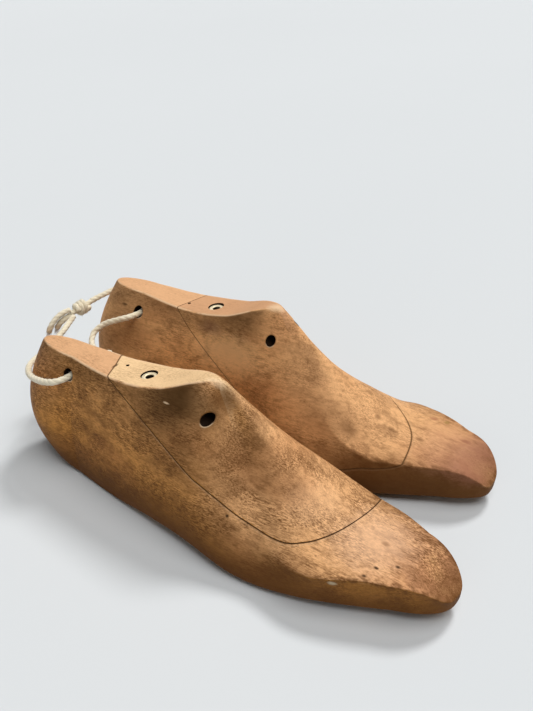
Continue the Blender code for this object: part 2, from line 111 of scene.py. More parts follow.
YARNS = 11  # round the cord, laid the other way
KNOT_ENDS = np.array([(-0.1569, 0.0115, 0.0628), (-0.1554, 0.0235, 0.0644)])
KNOT_TURNS = 3
KNOT_TURN_STEPS = 60
KNOT_STRAND = 0.0037
KNOT_RADIUS = 0.0031
KNOT_BELLY = 0.0005  # how much further out its middle turns lie
CORE_DIAMETER = CORD_DIAMETER * 0.95
CORE_BEFORE, CORE_AFTER = 0.25, 0.3  # how far the cord inside goes past the knot, of its length
FIBRE_LENGTH = 0.0017
FIBRE_THICKNESS = 0.00007
FIBRE_DROOP = 0.3
CORD_FIBRES, KNOT_FIBRES, TAIL_FIBRES, TUFT_FIBRES = 1800, 700, 110, 150
TUFT_LENGTH = 0.0048
TUFT_DEPTH = 0.0012  # how far inside the cord's end its frayed fibres start
TUFT_WIDTH = 0.0008
COTTON_CLEAN = (0.80, 0.72, 0.54)
COTTON_SOILED = (0.50, 0.38, 0.21)
COTTON_BROWN = (0.42, 0.24, 0.10)
BROWN_REACH = 0.008


def slopes(points):
    """A smooth line's slope at each point: the neighbouring rises, weighed by each other's step."""
    px, pv = np.array(points, float).T
    step = np.diff(px)
    rise = np.diff(pv) / step
    slope = np.empty(len(px))
    slope[1:-1] = (rise[:-1] * step[1:] + rise[1:] * step[:-1]) / (step[:-1] + step[1:])
    slope[0] = 1.5 * rise[0] - 0.5 * slope[1]
    slope[-1] = 1.5 * rise[-1] - 0.5 * slope[-2]
    return slope


def line(x, points):
    """A smooth line through the points: between two of them, the cubic that has both their slopes."""
    px, pv = np.array(points, float).T
    step = np.diff(px)
    slope = slopes(points)
    i = np.clip(np.searchsorted(px, x, side="right") - 1, 0, len(step) - 1)
    t = np.clip((x - px[i]) / step[i], 0, 1)
    from_left = (1 + 2 * t) * (1 - t) ** 2 * pv[i] + t * (1 - t) ** 2 * step[i] * slope[i]
    from_right = t * t * (3 - 2 * t) * pv[i + 1] + t * t * (t - 1) * step[i] * slope[i + 1]
    return from_left + from_right


def unit(vectors):
    """The same directions, each of length one."""
    return vectors / np.maximum(np.linalg.norm(vectors, axis=-1, keepdims=True), 1e-12)


def even_angles(sides):
    """The angles of a circle's points."""
    return np.arange(sides) * 2 * pi / sides


def around(aside, above, angle):
    """Directions round a line: each angle's cosine along aside and its sine along above."""
    return aside[..., None, :] * np.cos(angle)[:, None] + above[..., None, :] * np.sin(angle)[:, None]


def reach_along(path):
    """How far along the path each of its points lies."""
    return np.concatenate([[0], np.cumsum(np.linalg.norm(np.diff(path, axis=0), axis=1))])


def along_route(route):
    """Points at even steps on a curve through the route: each coordinate is a smooth line over the length."""
    reach = reach_along(route)
    at = np.linspace(0, reach[-1], round(reach[-1] / PATH_STEP) + 1)
    return np.stack([line(at, list(zip(reach, route[:, k]))) for k in range(3)], -1)


def mesh_object(name, points, faces, skin=None):
    """A smooth mesh. skin is a pair of values for each of its points, kept as a UV map."""
    mesh = bpy.data.meshes.new(name)
    mesh.from_pydata(points.tolist(), [], faces)
    if skin is not None:
        corners = np.empty(len(mesh.loops), np.int32)
        mesh.loops.foreach_get("vertex_index", corners)
        mesh.uv_layers.new(name="skin").data.foreach_set("uv", skin[corners].astype(np.float32).ravel())
    mesh.shade_smooth()
    obj = bpy.data.objects.new(name, mesh)
    bpy.context.scene.collection.objects.link(obj)
    return obj


def tube_faces(rings, sides):
    """The quads between each ring of points and the next, closed round the sides."""
    start = np.arange(rings - 1)[:, None] * sides
    here, after = start + np.arange(sides), start + (np.arange(sides) + 1) % sides
    return np.stack([here, after, after + sides, here + sides], -1).reshape(-1, 4)


def closed_tube(rings, sides):
    """The tube's faces, and one across each end."""
    first, final = list(range(sides)), list(range((rings - 1) * sides, rings * sides))
    return [*tube_faces(rings, sides).tolist(), first[::-1], final]


def rope(name, path, diameter, seed, up=(0, 0, 1), swell=0.06):
    """A twisted cord along a path of even steps.

    Round the path, the radius is full at each strand's crown and falls to a groove between two strands; the
    pattern turns once in a lay length. A sum of three sines along the cord swells it. Both ends close over a
    short dome.
    """
    reach = reach_along(path)
    tangent = unit(np.gradient(path, axis=0))
    across = unit(np.cross(tangent, up))
    above = np.cross(across, tangent)
    phase = np.random.default_rng(seed).uniform(0, 2 * pi, 4)
    wander = sum(np.sin(reach / size + p) for size, p in zip(CORD_WAVES, phase)) / 3
    angle = even_angles(CORD_SIDES)
    lay = angle + phase[3] + 2 * pi * reach[:, None] / LAY_LENGTH
    groove = STRAND_GROOVE * (1 - np.abs(np.cos(STRANDS / 2 * lay)) ** 0.8)
    from_end = np.minimum(reach, reach[-1] - reach) / (END_DOME * diameter)
    dome = np.sqrt((1 - (1 - from_end).clip(0) ** 2).clip(0.003))
    radius = diameter / 2 * (1 + swell * wander[:, None]) * (1 - groove) * dome[:, None]
    points = path[:, None] + around(across, above, angle) * radius[..., None]
    skin = np.stack([reach[:, None] / LAY_LENGTH + 0 * radius, lay / (2 * pi)], -1)
    faces = [face[::-1] for face in closed_tube(len(path), CORD_SIDES)]
    return mesh_object(name, points.reshape(-1, 3), faces, skin.reshape(-1, 2))


def fibres(name, roots, directions, length, seed, spread=0.6):
    """Fine hairs, three-sided spikes: each leaves its root along its direction, curls aside and tapers."""
    rng = np.random.default_rng(seed)
    count, steps, sides = len(roots), 5, 3
    t = np.linspace(0, 1, steps)[None, :, None]
    reach = (length * rng.uniform(0.35, 1, count))[:, None, None]
    curl = rng.normal(0, spread, (count, 1, 3)) - [0, 0, FIBRE_DROOP]
    spine = roots[:, None] + reach * (directions[:, None] * t + curl * t**2)
    tangent = unit(np.gradient(spine, axis=1))
    aside = unit(np.cross(tangent, rng.normal(0, 1, (count, 1, 3))))
    ring = around(aside, np.cross(tangent, aside), even_angles(sides))
    points = spine[:, :, None] + ring * (FIBRE_THICKNESS / 2 * (1 - 0.8 * t))[..., None]
    start = (np.arange(count) * steps * sides)[:, None, None]
    ends = np.array([(2, 1, 0), (steps - 1) * sides + np.arange(sides)])
    quads = (tube_faces(steps, sides) + start).reshape(-1, 4)
    return mesh_object(name, points.reshape(-1, 3), quads.tolist() + (ends + start).reshape(-1, 3).tolist())


class Wire:
    """A value in a material: the socket that gives it. Arithmetic on it adds Math nodes."""

    def __init__(self, tree, socket=None):
        self.tree = tree
        self.socket = socket

    def node(self, kind, inputs=(), output=0, **settings):
        """Adds a node: its settings first, then its inputs, which are numbers or Wires."""
        made = self.tree.nodes.new("ShaderNode" + kind)
        for name, value in settings.items():
            setattr(made, name, value)
        for key, value in dict(inputs).items():
            if isinstance(value, Wire):
                self.tree.links.new(value.socket, made.inputs[key])
            else:
                made.inputs[key].default_value = value
        return Wire(self.tree, made.outputs[output])

    def part(self, output):
        """Another output of this value's node."""
        return Wire(self.tree, self.socket.node.outputs[output])

    def math(self, operation, *others):
        return self.node("Math", enumerate((self, *others)), operation=operation)

    def vector(self, operation, *others, output=0):
        return self.node("VectorMath", enumerate((self, *others)), output, operation=operation)

    def __add__(self, other):
        return self.math("ADD", other)

    def __sub__(self, other):
        return self.math("SUBTRACT", other)

    def __rsub__(self, other):
        return self.node("Math", {0: other, 1: self}, operation="SUBTRACT")

    def __mul__(self, other):
        return self.math("MULTIPLY", other)

    __radd__ = __add__
    __rmul__ = __mul__

    def split(self, axis=0):
        """One coordinate of this vector; part gives the other two."""
        return self.node("SeparateXYZ", {0: self}, axis)

    def between(self, low, high):
        """From 0 at low to 1 at high, by a smooth step; low may be the larger of the two."""
        return self.node("MapRange", {0: self, 1: low, 2: high}, interpolation_type="SMOOTHSTEP")

    def noise(self, size, detail=2.0, rough=0.5, shift=0.0):
        """Noise about 0.5 at this place; its features have the size given along each axis."""
        inputs = {"Vector": self, "Scale": [1 / s for s in size], "Location": (shift, shift / 2, shift / 3)}
        look = {"Vector": self.node("Mapping", inputs), "Scale": 1.0, "Detail": detail, "Roughness": rough}
        return self.node("TexNoise", look)

    def colour(self, value):
        """A plain colour to start from, as a mix of nothing."""
        return self.node("Mix", {0: 0.0, 6: (*value, 1), 7: (*value, 1)}, 2, data_type="RGBA")

    def tinted(self, *layers):
        """This colour with others laid over it in turn, each of them a colour and an amount."""
        mixed = self
        for colour, amount in layers:
            mixed = self.node("Mix", {0: amount, 6: mixed, 7: (*colour, 1)}, 2, data_type="RGBA")
        return mixed

    def bump(self, strength, distance):
        """The surface's direction where this value is its height."""
        return self.node("Bump", {"Strength": strength, "Distance": distance, "Height": self})


def new_material(name, roughness, metallic=0.0):
    """A new material, its shader, and a Wire on its Object coordinates: metres in the model's frame."""
    made = bpy.data.materials.new(name)
    made.use_nodes = True
    shader = made.node_tree.nodes["Principled BSDF"]
    shader.inputs["Roughness"].default_value = roughness
    shader.inputs["Metallic"].default_value = metallic
    return made, shader, Wire(made.node_tree).node("TexCoord", output="Object")


def connect(shader, wires):
    """Links each Wire to the shader's socket of that name."""
    for name, wire in wires.items():
        wire.tree.links.new(wire.socket, shader.inputs[name])


def cotton(name, soiling, brown_end=None):
    """Raw cotton: its yarns are a sine laid across the strands, its dirt is noise; darker in the grooves."""
    made, shader, place = new_material(name, 0.95)
    shader.inputs["Sheen Weight"].default_value = 0.35
    shader.inputs["Sheen Roughness"].default_value = 0.6
    reach = place.node("UVMap", uv_map="skin").split()
    turn = reach.part(1)
    yarn = ((turn - reach * 1.7) * (2 * pi * YARNS)).math("SINE")
    groove = 1 - (turn * (pi * STRANDS)).math("COSINE").math("ABSOLUTE")
    dirt = place.noise((0.008,) * 3, 3.0, 0.6).between(0.45, 0.72)
    speck = place.noise((0.0005,) * 3, 2.0, 0.6)
    colour = place.colour(COTTON_CLEAN).tinted(
        (COTTON_SOILED, dirt * soiling),
        (COTTON_SOILED, groove.between(0.5, 1.0) * 0.4),
        (COTTON_SOILED, speck.between(0.55, 0.75) * 0.3),
    )
    if brown_end is not None:
        from_end = place.vector("DISTANCE", brown_end, output="Value")
        colour = colour.tinted((COTTON_BROWN, from_end.between(BROWN_REACH, BROWN_REACH * 0.3) * 0.75))
    connect(shader, {"Base Color": colour, "Normal": (yarn * 0.4 + speck).bump(0.4, 0.00025)})
    return made


def loose_cotton():
    """Loose cotton fibres, a little lighter than the cord: clean and soiled by noise."""
    made, shader, place = new_material("cotton_fluff", 1.0)
    soiled = place.noise((0.003,) * 3).between(0.4, 0.7)
    connect(shader, {"Base Color": place.colour(COTTON_CLEAN).tinted((COTTON_SOILED, soiled))})
    return made


def fibre_roots(path, diameter, count, seed):
    """Where loose fibres stand on a cord, and their directions: outwards at random, leaning along it."""
    rng = np.random.default_rng(seed)
    at = rng.integers(2, len(path) - 2, count)
    tangent = unit(np.gradient(path, axis=0))[at]
    outward = unit(np.cross(tangent, rng.normal(0, 1, (count, 3))))
    lean = tangent * rng.uniform(-0.9, 0.9, (count, 1))
    return path[at] + outward * diameter * 0.42, unit(outward + lean)


def knot_path():
    """The knot's turns, a helix about the line between its ends, wider in the middle, and the way out."""
    start, end = KNOT_ENDS
    axis = unit(end - start)
    aside = unit(np.cross(axis, [0, 0, 1]))
    t = np.linspace(0, 1, KNOT_TURNS * KNOT_TURN_STEPS + 1)
    outward = around(aside, np.cross(aside, axis), 2 * pi * KNOT_TURNS * t)
    t = t[:, None]
    margin = KNOT_STRAND / 2 / np.linalg.norm(end - start)
    along = start + (end - start) * (margin + (1 - 2 * margin) * t)
    return along + (KNOT_RADIUS + KNOT_BELLY * np.sin(pi * t)) * outward, outward


tie_path = along_route(CORD_ROUTE)
tie_cord = rope("cord", tie_path, CORD_DIAMETER, seed=3)
tie_cord.data.materials.append(cotton("cord_cotton", soiling=0.45))
tie_fluff = fibres("cord_fluff", *fibre_roots(tie_path, CORD_DIAMETER, CORD_FIBRES, 5), FIBRE_LENGTH, 6)
tie_fluff.data.materials.append(loose_cotton())
for piece in (tie_cord, tie_fluff):
    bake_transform(piece)
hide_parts("tie_cord")

helix, knot_outward = knot_path()
knot = rope("knot", helix, KNOT_STRAND, up=knot_outward, swell=0.08, seed=8)
knot.data.materials.append(cotton("knot_cotton", soiling=0.25))
knot_start, knot_end = KNOT_ENDS
core_start = knot_start - (knot_end - knot_start) * CORE_BEFORE
core_end = knot_end + (knot_end - knot_start) * CORE_AFTER
core_path = along_route(np.array([core_start, knot_start, knot_end, core_end]))
knot_core = rope("knot_core", core_path, CORE_DIAMETER, seed=9)
knot_core.data.materials.append(knot.data.materials[0])
knot_fluff = fibres("knot_fluff", *fibre_roots(helix, KNOT_STRAND, KNOT_FIBRES, 11), FIBRE_LENGTH, 12)
knot_fluff.data.materials.append(tie_fluff.data.materials[0])
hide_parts("tie_knot")

tail_pieces = []
for tail_name, route, seed in (("long_tail", LONG_TAIL_ROUTE, 21), ("short_tail", SHORT_TAIL_ROUTE, 22)):
    path = along_route(route)
    tail = rope(tail_name + "_cord", path, CORD_DIAMETER, seed=seed)
    tail.data.materials.append(cotton(tail_name + "_cotton", soiling=0.6, brown_end=path[-1]))
    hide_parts(tail_name)
    rng = np.random.default_rng(seed + 10)
    end_way = unit(path[-1] - path[-6])
    tuft_roots = path[-1] - end_way * TUFT_DEPTH + rng.normal(0, TUFT_WIDTH, (TUFT_FIBRES, 3))
    tuft_ways = unit(end_way + rng.normal(0, 0.28, (TUFT_FIBRES, 3)))
    tuft = fibres(tail_name + "_tuft", tuft_roots, tuft_ways, TUFT_LENGTH, seed + 20, spread=0.2)
    tuft.data.materials.append(tail.data.materials[0])
    hair_roots = fibre_roots(path, CORD_DIAMETER, TAIL_FIBRES, seed + 30)
    hairs = fibres(tail_name + "_fluff", *hair_roots, FIBRE_LENGTH, seed + 40)
    hairs.data.materials.append(tie_fluff.data.materials[0])
    tail_pieces += [tail, tuft, hairs]
for piece in (knot, knot_core, knot_fluff, *tail_pieces):
    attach(piece, "left_last")


# Each last is one piece of close-grained wood, turned and then finished by hand: a body, and on its instep
# the scoop block, which was sawn from it along a ramp and a hollow and slides off. Their shared form is a
# grid of sections, from the sole's middle out to the feather edge, up the wall, and in over the top.
MM = 0.001
OUTER, INNER = 1, -1  # the foot's sides
LENGTH = 286.3
HEEL_CENTRE = 42.0
TOE_CENTRE = 262.0
SOLE_HEIGHT = [(0, 8.5), (42, 1.1), (80, 1.7), (115, 4.9), (150, 5.2), (190, 2.2), (235, 4.7), (288, 6.8)]
FEATHER = {
    OUTER: [(42, 21.4), (80, 27.1), (130, 33.9), (180, 40.4), (220, 34.8), (262, 19.8)],
    INNER: [(42, 32.2), (80, 28.5), (130, 27.8), (180, 39.2), (210, 36.6), (262, 17.1)],
}
TOP_BACK = 9.3
TOP_HEIGHT = [(10, 79.7), (40, 78.8), (80, 77.2), (115, 81.4), (145, 90.8), (152, 91.4)]
TOP_HALF_WIDTH = [(42, 8.2), (65, 10.4), (100, 12.3), (125, 10.1), (142, 5.7), (152, 2)]
BEAK = TOP_HEIGHT[-1][0]  # where the top face ends, above the instep
RIDGE_HEIGHT = [(152, 91.4), (160, 85), (175, 70.6), (200, 49.2), (225, 35.1), (250, 29.1), (275, 26)]
RIDGE_OFFSET = [(42, 0), (80, 0.5), (150, -0.7), (200, -4.2), (262, -2.2)]
SHOULDER = {
    OUTER: [(152, 1), (175, 14.1), (200, 32.3), (225, 36.8), (250, 28.6), (262, 23.8)],
    INNER: [(152, 3.6), (175, 14), (200, 27.2), (225, 28.8), (250, 22.8), (262, 18.2)],
}
SHOULDER_HEIGHT = {
    OUTER: [(152, 87), (175, 50.2), (200, 25.2), (225, 23.6), (250, 26.5), (262, 26)],
    INNER: [(152, 89.7), (175, 62), (200, 37.2), (225, 26.7), (250, 26.4), (262, 25.9)],
}
WALL_CURVE = 2.0
HEEL_SWELL = 11.3
SIDE_SWELL = 0.6
TOE_SWELL = 0.7
TOE_SWELL_REACH = 60.0
SWELL_LEAN = 0.8  # under one, a swell is fullest below the wall's middle
TOE_WALL = 6.7
TOE_OVERHANG = 1.4
TOE_SQUARENESS = 2.76
TOE_TOP_SQUARENESS = 3.3
TOE_TAPER = 0.73
TOE_TOP_TAPER = 0.77
SOLE_CROWN = 2.8
SOFT_EDGE = [(150, 0), (162, 1), (185, 1), (215, 0)]
EDGE_LIFT = 1.35
EDGE_HOLD, RIDGE_HOLD = 0.42, 0.35  # how far the top's curve keeps its directions, of its width
UNEVEN = [(0.30, 38), (0.10, 9)]  # how high the skin's lumps are, and how wide
UNEVEN_FADE = [(0, 0), (12, 1), (276, 1), (288, 0)]
SEAM_GAP = 0.3
CORD_HOLE = (41.0, 67.7)
CORD_HOLE_DIAMETER = 7.5
HOOK_HOLE = (151.5, 74.4)
HOOK_HOLE_DIAMETER = 6.2
THIMBLE_AT = 98.5
THIMBLE_DIAMETER = 9.6
THIMBLE_BORE = 4.8
THIMBLE_LENGTH = 6.0
THIMBLE_DEPTH = 1.2
PIN_HOLE_BOTTOM = 32.0
NAIL_HOLE = (78.0, -3.0)
NAIL_HOLE_DIAMETER, NAIL_HOLE_DEPTH = 2.2, 11.0
DOWEL_AT = np.array([224.0, 0, 28.5])
DOWEL_DIAMETER, DOWEL_LENGTH = 8.0, 24.0
SIDE_COLUMNS, FAN_COLUMNS = 230, 40
SOLE_ROWS, WALL_ROWS, TOP_ROWS, EVEN_ROWS = 30, 90, 50, 150
WEAR_ROWS = 1.1  # how many of the even rows an edge's rounding takes
BEAK_COLUMNS = 3  # and how many sections the beak's
BEAK_REACH = 22.0
FAR = 150.0
CUT_SPAN, CUT_STEPS = (-60, 320), 81
SKIN_SCALE = 0.01  # of the skin's distances in millimetres, as the mesh keeps them
INSIDE = -1000.0  # the distance that marks faces made by the saw or the drill


def directions(turn, along, squareness):
    """Each section's direction from the axis; at the toe they follow a curve of the squareness."""
    power = 2 / squareness
    out_x = np.concatenate([-np.cos(turn), 0 * along, np.cos(turn[::-1]).clip(0) ** power])
    out_y = np.concatenate([np.sin(turn), 0 * along + 1, np.sin(turn[::-1]).clip(0) ** power])
    return out_x, out_y


def lengthwise_lines(side):
    """The lines that carry half a last's sections: feather edge, upper edge and ridge, and how they swell.

    Sections stand square to the axis along the sides, and turn about the heel's and the toe's centres at
    the ends. Each line is a smooth line over the length, and the two edges taper on past the toe's centre.
    """
    turn = np.linspace(0, pi / 2, FAN_COLUMNS + 1)
    along = np.linspace(HEEL_CENTRE, TOE_CENTRE, SIDE_COLUMNS + 1)[1:-1]
    centre_x = np.concatenate([0 * turn + HEEL_CENTRE, along, 0 * turn + TOE_CENTRE])
    out_x, out_y = directions(turn, along, TOE_SQUARENESS)
    top_x, top_y = directions(turn, along, TOE_TOP_SQUARENESS)
    backward, forward = out_x < -1e-9, out_x > 1e-9
    ends = np.concatenate([np.cos(turn), 0 * along, np.cos(turn[::-1])]).clip(0)

    feather_x = centre_x + out_x * np.where(backward, HEEL_CENTRE, LENGTH - TOE_CENTRE)
    toe_reach = LENGTH + TOE_OVERHANG - TOE_CENTRE
    edge_x = centre_x + top_x * np.where(backward, HEEL_CENTRE - TOP_BACK, toe_reach)
    feather_taper = np.where(forward, TOE_TAPER * slopes(FEATHER[side])[-1] * (feather_x - centre_x), 0)
    edge_taper = np.where(forward, TOE_TOP_TAPER * slopes(SHOULDER[side])[-1] * (edge_x - centre_x), 0)
    feather_y = (line(centre_x, FEATHER[side]) + feather_taper) * out_y
    on_cone = centre_x <= BEAK
    ridge_y = side * line(centre_x, RIDGE_OFFSET) * np.where(backward, out_y, 1)
    cone_y = line(centre_x, TOP_HALF_WIDTH) * out_y + ridge_y
    edge_y = np.where(on_cone, cone_y, (line(centre_x, SHOULDER[side]) + edge_taper) * top_y)
    ridge_z = np.where(on_cone, line(centre_x, TOP_HEIGHT), line(centre_x, RIDGE_HEIGHT))
    toe_z = line(np.array([LENGTH]), SOLE_HEIGHT) + TOE_WALL
    shoulder_z = line(centre_x, SHOULDER_HEIGHT[side])
    shoulder_z = np.where(forward, shoulder_z + (toe_z - shoulder_z) * ends**2, shoulder_z)
    edge_z = np.where(on_cone, line(edge_x, TOP_HEIGHT), shoulder_z)
    toeward = 1 - ((TOE_CENTRE - centre_x) / TOE_SWELL_REACH).clip(0, 1)
    side_swell = SIDE_SWELL * (1 - toeward) + TOE_SWELL * toeward
    swell = np.where(backward, HEEL_SWELL * ends + SIDE_SWELL * out_y, side_swell)

    feather = np.stack([feather_x, feather_y, line(feather_x, SOLE_HEIGHT)], -1)[:, None]
    edge = np.stack([edge_x, edge_y, edge_z], -1)[:, None]
    ridge = np.stack([centre_x, ridge_y, ridge_z], -1)[:, None]
    outward = np.stack([out_x, out_y, 0 * out_x], -1)[:, None]
    return feather, edge, ridge, outward * swell[:, None, None]


def half_last(side):
    """Half of a last's surface: a grid of points in millimetres, and each one's distance above two edges.

    A section's sole is a parabola, its wall leans in by a power of its height and swells by an arch of a
    sine, and its top is a cubic from the wall's upper edge to the ridge.
    """
    feather, edge, ridge, swell = lengthwise_lines(side)
    centre_x = ridge[:, 0, 0]
    share = np.linspace(0, 1, SOLE_ROWS + 1)[None, :-1, None]
    sole = ridge * [1, 0, 0] * (1 - share) + feather * share
    sole[..., 2] = line(sole[..., 0], SOLE_HEIGHT) - SOLE_CROWN * (1 - share[..., 0] ** 2)
    rise = np.linspace(0, 1, WALL_ROWS + 1)[None, :, None]
    lean = np.concatenate([rise**WALL_CURVE, rise**WALL_CURVE, rise], -1)
    wall = feather + (edge - feather) * lean + swell * np.sin(pi * rise**SWELL_LEAN)
    lean_end = unit((edge - feather) * [WALL_CURVE, WALL_CURVE, 1] - swell * pi * SWELL_LEAN)
    across = ridge - edge
    soft = np.interp(centre_x, *np.array(SOFT_EDGE, float).T)[:, None, None]
    start = unit(lean_end * soft + unit(across * [1, 1, EDGE_LIFT]) * (1 - soft))
    hold_edge = edge + EDGE_HOLD * np.linalg.norm(across, axis=-1, keepdims=True) * start
    hold_ridge = ridge - RIDGE_HOLD * across * [1, 1, 0]
    t = np.linspace(0, 1, TOP_ROWS + 1)[None, 1:, None]
    top = (1 - t) ** 3 * edge + 3 * t * (1 - t) ** 2 * hold_edge
    top = top + 3 * t * t * (1 - t) * hold_ridge + t**3 * ridge
    grid, heights = worn(np.concatenate([sole, wall, top], 1), SOLE_ROWS, SOLE_ROWS + WALL_ROWS)
    return grid * [1, side, 1], heights


def bell(steps, width):
    """A bell curve's weights at the steps, which add up to one."""
    weights = np.exp(-0.5 * (steps / width) ** 2)
    return weights / weights.sum()


def worn(grid, feather_row, edge_row):
    """The sections with their corners worn round, and each point's distance above the feather and upper edge.

    Each section is dealt out again in even steps along itself, and then averaged over its near points by a
    bell curve. Past its ends it goes on mirrored through the end point, which so stays where it is. Round
    the beak it is averaged over the near sections too.
    """
    reach = np.cumsum(np.linalg.norm(np.diff(grid, axis=1, prepend=grid[:, :1]), axis=2), axis=1)
    even = np.linspace(0, 1, EVEN_ROWS) * reach[:, -1:]
    at = ((reach[:, None, :] <= even[..., None]).sum(-1) - 1).clip(0, grid.shape[1] - 2)
    low, high = np.take_along_axis(reach, at, 1), np.take_along_axis(reach, at + 1, 1)
    t = ((even - low) / np.maximum(high - low, 1e-9))[..., None]
    near, far = (np.take_along_axis(grid, (at + k)[..., None], 1) for k in (0, 1))
    dealt = near * (1 - t) + far * t
    span = 4
    before = 2 * dealt[:, :1] - dealt[:, span:0:-1]
    after = 2 * dealt[:, -1:] - dealt[:, -2:-span - 2:-1]
    longer = np.concatenate([before, dealt, after], 1)
    weights = bell(np.arange(-span, span + 1), WEAR_ROWS)
    smooth = sum(w * longer[:, k:k + EVEN_ROWS] for k, w in enumerate(weights))
    steps = np.arange(-3 * BEAK_COLUMNS, 3 * BEAK_COLUMNS + 1)
    rounded = sum(w * np.roll(smooth, -k, 0) for k, w in zip(steps, bell(steps, BEAK_COLUMNS)))
    from_beak = np.abs(smooth[:, -1:, :1] - BEAK)
    smooth += (rounded - smooth) * (1.6 - from_beak / BEAK_REACH).clip(0, 1)
    return smooth, np.stack([even - reach[:, feather_row, None], even - reach[:, edge_row, None]], -1)


def lumps(points, size, seed):
    """Smooth random vectors at the points: a lattice of them, blended by cubic weights."""
    count = 16
    lattice = np.random.default_rng(seed).uniform(-1, 1, (count, count, count, 3))
    base = np.floor(points / size).astype(int)
    t = points / size - base
    t = t * t * (3 - 2 * t)
    total = np.zeros_like(points)
    for corner in np.ndindex(2, 2, 2):
        i, j, k = np.moveaxis((base + corner) % count, -1, 0)
        total += np.prod(np.where(corner, t, 1 - t), -1, keepdims=True) * lattice[i, j, k]
    return total


def top_at(x):
    """The top face's height at a distance from the heel."""
    return float(line(np.array([x]), TOP_HEIGHT)[0])


def ramp_slope(cut):
    """The ramp's fall for each step towards the toe, as a negative number."""
    (top_x, top_z), (foot_x, foot_z) = cut[:2]
    return (foot_z - top_z) / (foot_x - top_x)


def cut_height(x, cut):
    """The cut's height at the last's middle: its ramp, then its hollow, then straight on."""
    foot_x, foot_z = cut[1]
    before, end = cut[-2:]
    ramp = foot_z + (x - foot_x) * ramp_slope(cut)
    beyond = end[1] + (x - end[0]) * (end[1] - before[1]) / (end[0] - before[0])
    return np.where(x <= foot_x, ramp, np.where(x >= end[0], beyond, line(x, cut[1:])))


def mended(obj, triangles=False):
    """A piece with its doubled points merged and its faces turned outwards."""
    bm = bmesh.new()
    bm.from_mesh(obj.data)
    bmesh.ops.remove_doubles(bm, verts=bm.verts, dist=0.001 * MM)
    if triangles:
        bmesh.ops.triangulate(bm, faces=bm.faces)
    bmesh.ops.recalc_face_normals(bm, faces=bm.faces)
    bm.to_mesh(obj.data)
    bm.free()
    return obj


def lathe(profile, start, direction, sides):
    """A profile of (radius, height) pairs turned about a line from start: a ring of points for each pair."""
    axis = unit(np.array(direction, float))
    aside = unit(np.cross(axis, [0.3, 1, 0.2]))
    radius, height = np.array(profile, float).T
    ring = around(aside, np.cross(axis, aside), even_angles(sides))
    return np.array(start) + axis * height[:, None, None] + ring * radius[:, None, None]


def cutter(points, faces):
    """A closed cutter whose faces carry the mark of sawn and drilled wood."""
    skin = np.full((len(points), 2), INSIDE * SKIN_SCALE)
    return mended(mesh_object("cutter", points, faces, skin), triangles=True)


